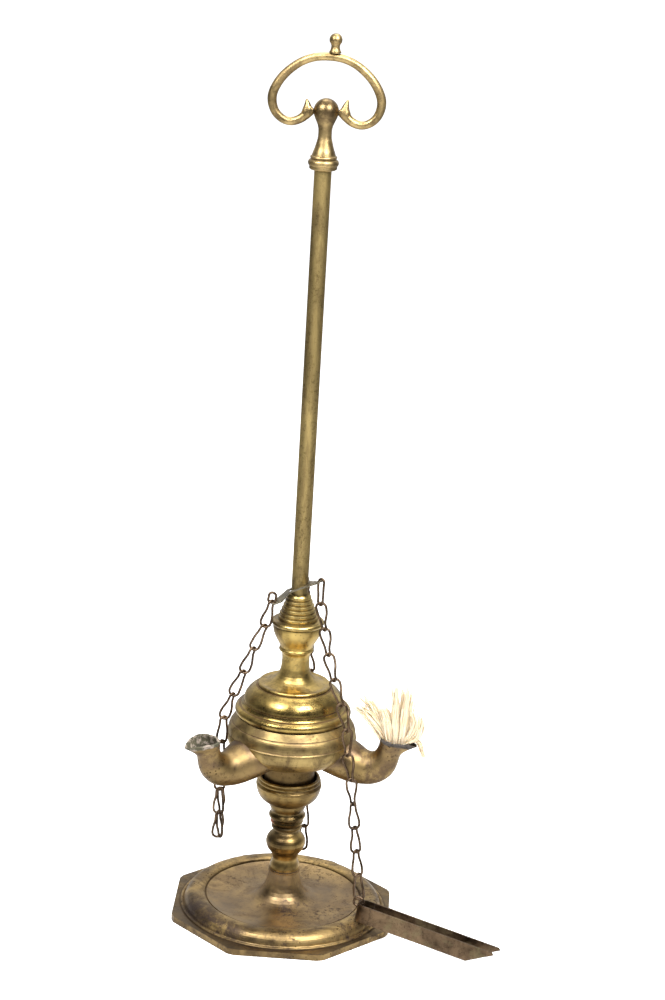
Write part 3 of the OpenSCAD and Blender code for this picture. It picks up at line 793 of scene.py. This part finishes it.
def wire_loop(top, bottom, side, w_top, w_bottom, twist, rng, sag=0.0):
    """A closed loop of wire from top to bottom, twisted by so many degrees on the way down.

    w_top and w_bottom are half the widths of its ends, and sag is the bow of its legs, in mm."""
    axis = (bottom - top).normalized()
    length = (bottom - top).length / MM
    depth = axis.cross(side).normalized()
    side = depth.cross(axis).normalized()
    angles = [math.pi * i / END_STEPS for i in range(END_STEPS + 1)]
    upper = [(w_top * math.cos(w), w_top - w_top * math.sin(w)) for w in reversed(angles)]
    lower = [(w_bottom * math.cos(w), length - w_bottom + w_bottom * math.sin(w)) for w in angles]
    right = []
    for i in range(1, LEG_STEPS):
        t = i / LEG_STEPS
        right.append((w_top + (w_bottom - w_top) * smoothstep(t),
                      w_top + (length - w_top - w_bottom) * t))
    left = [(-x, z) for x, z in reversed(right)]
    flat = upper + right + lower + left
    ph = rng.uniform(0, 6.28)
    path = []
    for x, z in flat:
        turn = math.radians(twist) * smoothstep((z / length - 0.22) / 0.56)
        lean = sag * math.sin(math.pi * z / length)
        bend = 0.12 * math.sin(9 * z / length + ph)
        offset = side * (math.cos(turn) * x + bend) + depth * (math.sin(turn) * x + lean)
        path.append(top + axis * (z * MM) + offset * MM)
    return tube_mesh(path, DRAWN_R * MM, 12, closed=True)


def chain_links():
    """Each link is a pinched oval, twisted so that its wide end faces the front and its other end
    is turned."""
    rng = random.Random(5)
    for which in ("right", "left", "back"):
        count = 0
        for part in ("upper", "middle", "lower"):
            node = "chain_%s_%s" % (which, part)
            parts = []
            found = sorted((measure(g) for g in islands(nodes[node])), key=lambda m: -m[0].z)
            for i, (top, bottom, _) in enumerate(found):
                axis = (bottom - top).normalized()
                front = axis.cross(Vector((0, 1, 0))).normalized()
                if (bottom - top).length < END_RING * MM:
                    turned = Matrix.Rotation(math.radians(TWEEZERS_TURN), 3, "Z")
                    side = turned @ Vector((1, 0, 0))
                    half = (bottom - top).length / MM / 2
                    parts.append(wire_loop(top, bottom, side, half, half, 0, rng))
                    continue
                wide, narrow = rng.uniform(2.5, 2.8), rng.uniform(2.0, 2.2)
                twist = rng.uniform(44, 52)
                start = rng.uniform(-7, 7)
                if which == "right" and count < FRONT_WIDE:
                    ends = (wide, narrow)
                else:
                    ends = (narrow, wide)
                    start -= twist
                facing = Matrix.Rotation(math.radians(start), 3, axis) @ front
                parts.append(wire_loop(top, bottom, facing, ends[0], ends[1], twist, rng))
                if which == "left" and part == "lower" and i >= len(found) - TAIL:
                    beside = Matrix.Rotation(math.radians(35), 3, axis) @ front * (2.4 * MM)
                    shift = beside - axis * (0.8 * MM)
                    parts.append(wire_loop(top + shift * 0.4, bottom + shift, front,
                                           1.5, 2.3, -70, rng))
                count += 1
            ob = mesh_object(node + "_links", *joined(parts), node, "chain_wire", wire_mat)
            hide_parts(node)


def hooks():
    """Loops through the plate's eyes. The short one lies outwards, and the long ones sag."""
    rng = random.Random(3)
    parts = []
    found = sorted((measure(g) for g in islands(nodes["plate_hooks"])), key=lambda m: m[0].x)
    for top, bottom, side in found:
        if (bottom - top).length < SHORT_HOOK * MM:
            out = Vector((top.x, top.y, 0)).normalized()
            parts.append(wire_loop(top, bottom, out, 2.0, 2.0, 12, rng))
        else:
            parts.append(wire_loop(top, bottom, side, 1.9, 2.1, 14, rng, sag=0.35))
    ob = mesh_object("plate_wire_hooks", *joined(parts), "plate", "chain_wire", wire_mat)
    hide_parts("plate_hooks")


PLATE_VOXEL = 0.22
WING_TURN = 162    # direction of the left wing, in degrees
WING_FROM = 3.5    # mm left of the axis, where it starts to fall
WING_OVER = 6      # mm over which it reaches its whole slope
WING_SLOPE = 0.42
CURL_FROM = 13.9   # mm from the axis, where the corners start to curl up
CURL = 0.5
WAVE = 0.12        # mm of unevenness in the sheet


def bent_plate():
    """The sheet plate, with the front of its left wing bent down and corners curled up."""
    flat = nodes["chain_plate"]
    scratch = bpy.data.objects.new("plate_scratch", flat.data.copy())
    bpy.context.collection.objects.link(scratch)
    fine = scratch.modifiers.new("fine", "REMESH")
    fine.mode = "VOXEL"
    fine.voxel_size = PLATE_VOXEL * MM
    bpy.context.view_layer.update()
    graph = bpy.context.evaluated_depsgraph_get()
    me = bpy.data.meshes.new_from_object(scratch.evaluated_get(graph))
    bpy.data.objects.remove(scratch)
    for v in me.vertices:
        x, y = v.co.x / MM, v.co.y / MM
        wing = smoothstep((-x - WING_FROM) / WING_OVER)
        across = x * math.sin(math.radians(WING_TURN)) - y * math.cos(math.radians(WING_TURN))
        lift = WING_SLOPE * wing * across
        past = max(math.hypot(x, y) - CURL_FROM, 0.0)
        lift += CURL * past * past
        lift += WAVE * math.sin(0.9 * x + 0.4) * math.sin(0.7 * y)
        v.co.z += lift * MM
    me.polygons.foreach_set("use_smooth", [True] * len(me.polygons))
    me.materials.clear()
    me.materials.append(plate_mat)
    ob = bpy.data.objects.new("plate_bent_sheet", me)
    bpy.context.collection.objects.link(ob)
    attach(ob, "plate")
    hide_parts("chain_plate")


chain_links()
hooks()
bent_plate()


# ---------- stage, light and camera ----------

FLOOR = 80.0  # metres
AIM = Vector((0.0, 0.0, 0.15))  # where the lights point


def stage_floor():
    """A floor that the camera sees white. The brass sees a painted reflection: the floor glows near
    the lamp and in a cone in front of it, and is grey away.
    """
    t = Tree("studio_floor")
    path = t.nt.nodes.new("ShaderNodeLightPath")
    glossy = path.outputs["Is Glossy Ray"]
    t.link(t.mix(glossy, (0.86, 0.86, 0.865), (0.35, 0.35, 0.35)), t.bsdf.inputs["Base Color"])
    t.bsdf.inputs["Roughness"].default_value = 0.6
    t.bsdf.inputs["Specular IOR Level"].default_value = 0.2
    t.bsdf.inputs["Emission Color"].default_value = (1, 1, 1, 1)
    # Painted reflection: an emission that only glossy rays see, near the lamp and in a cone in
    # front of it
    near = t.span(t.radius(), 0.4, 0.15, 0.0, 0.75)
    away = t.math("MAXIMUM", t.math("MULTIPLY", t.axis("Y"), -1.0), 0.05)
    cone = t.span(t.math("DIVIDE", t.math("ABSOLUTE", t.axis("X")), away), 1.0, 0.4)
    ahead = t.math("MULTIPLY", t.math("MULTIPLY", t.span(away, 0.1, 0.25), t.span(away, 7.0, 3.0)),
                   cone)
    ahead = t.math("MULTIPLY", ahead, t.span(away, 1.2, 0.4, 0.5, 1.0))
    painted_reflection_glow = t.math("MULTIPLY", t.math("MAXIMUM", near, ahead), glossy)
    seen = t.math("MULTIPLY", path.outputs["Is Camera Ray"], 0.8)
    t.link(t.math("ADD", painted_reflection_glow, seen), t.bsdf.inputs["Emission Strength"])
    half = FLOOR / 2
    verts = [(-half, -half, 0), (half, -half, 0), (half, half, 0), (-half, half, 0)]
    mesh_object("studio_floor", verts, [(0, 1, 2, 3)], None, mat=t.mat, smooth=False)


def soft_box(name, azimuth, elevation, distance, size, power):
    """A soft box that faces the lamp. Azimuth 0 is in front of it, and 90 on its right."""
    a, e = math.radians(azimuth), math.radians(elevation)
    at = AIM + distance * Vector((math.cos(e) * math.sin(a), -math.cos(e) * math.cos(a),
                                  math.sin(e)))
    light = bpy.data.lights.new(name, "AREA")
    light.shape = "RECTANGLE"
    light.size, light.size_y = size
    light.energy = power
    ob = bpy.data.objects.new(name, light)
    bpy.context.collection.objects.link(ob)
    ob.location = at
    ob.rotation_euler = (AIM - at).to_track_quat("-Z", "Y").to_euler()


def studio_world():
    """White to the camera. The brass sees it white behind, grey above and dark in front."""
    world = bpy.data.worlds.new("studio")
    bpy.context.scene.world = world
    world.use_nodes = True
    nt = world.node_tree

    way = nt.nodes.new("ShaderNodeSeparateXYZ")
    nt.links.new(nt.nodes.new("ShaderNodeTexCoord").outputs["Generated"], way.inputs[0])
    behind = nt.nodes.new("ShaderNodeMapRange")
    above = nt.nodes.new("ShaderNodeMapRange")
    for n, axis, lo, hi, to_lo, to_hi in ((behind, "Y", 0.25, 0.8, 0.08, 0.85),
                                          (above, "Z", 0.35, 0.9, 0.0, 0.3)):
        n.interpolation_type = "SMOOTHSTEP"
        nt.links.new(way.outputs[axis], n.inputs["Value"])
        for key, value in (("From Min", lo), ("From Max", hi), ("To Min", to_lo),
                           ("To Max", to_hi)):
            n.inputs[key].default_value = value
    total = nt.nodes.new("ShaderNodeMath")
    nt.links.new(behind.outputs[0], total.inputs[0])
    nt.links.new(above.outputs[0], total.inputs[1])
    path = nt.nodes.new("ShaderNodeLightPath")
    seen = nt.nodes.new("ShaderNodeMix")
    nt.links.new(path.outputs["Is Camera Ray"], seen.inputs["Factor"])
    nt.links.new(total.outputs[0], seen.inputs[NUMBER_A])
    seen.inputs[NUMBER_B].default_value = 1.2
    nt.links.new(seen.outputs[0], nt.nodes["Background"].inputs["Strength"])
    nt.nodes["Background"].inputs["Color"].default_value = (1, 1, 1, 1)


stage_floor()
soft_box("key", 35, 50, 1.3, (0.62, 0.5), 21)
soft_box("fill", -42, 50, 1.3, (0.5, 0.5), 14)
soft_box("top", 170, 74, 1.5, (0.9, 0.9), 12)
studio_world()
bpy.context.scene.view_settings.view_transform = "Standard"

# The photo's camera, fitted to the foot, the turned rings and the rod
CAMERA_AT = Vector((0.0443, -1.2192, 0.6031))
FORWARD = Vector((-0.02315, 0.95837, -0.2846))
RIGHT = Vector((0.99756, 0.04091, 0.0566))
UP = RIGHT.cross(FORWARD)
cam = bpy.data.cameras.new("camera")
cam.sensor_fit = "VERTICAL"
cam.sensor_height = 36.0
cam.lens = 85.84  # for the height of the sensor above
camera = bpy.data.objects.new("camera", cam)
bpy.context.collection.objects.link(camera)
turn = Matrix((RIGHT, UP.normalized(), -FORWARD)).transposed()
camera.matrix_world = Matrix.Translation(CAMERA_AT) @ turn.to_4x4()
bpy.context.scene.camera = camera
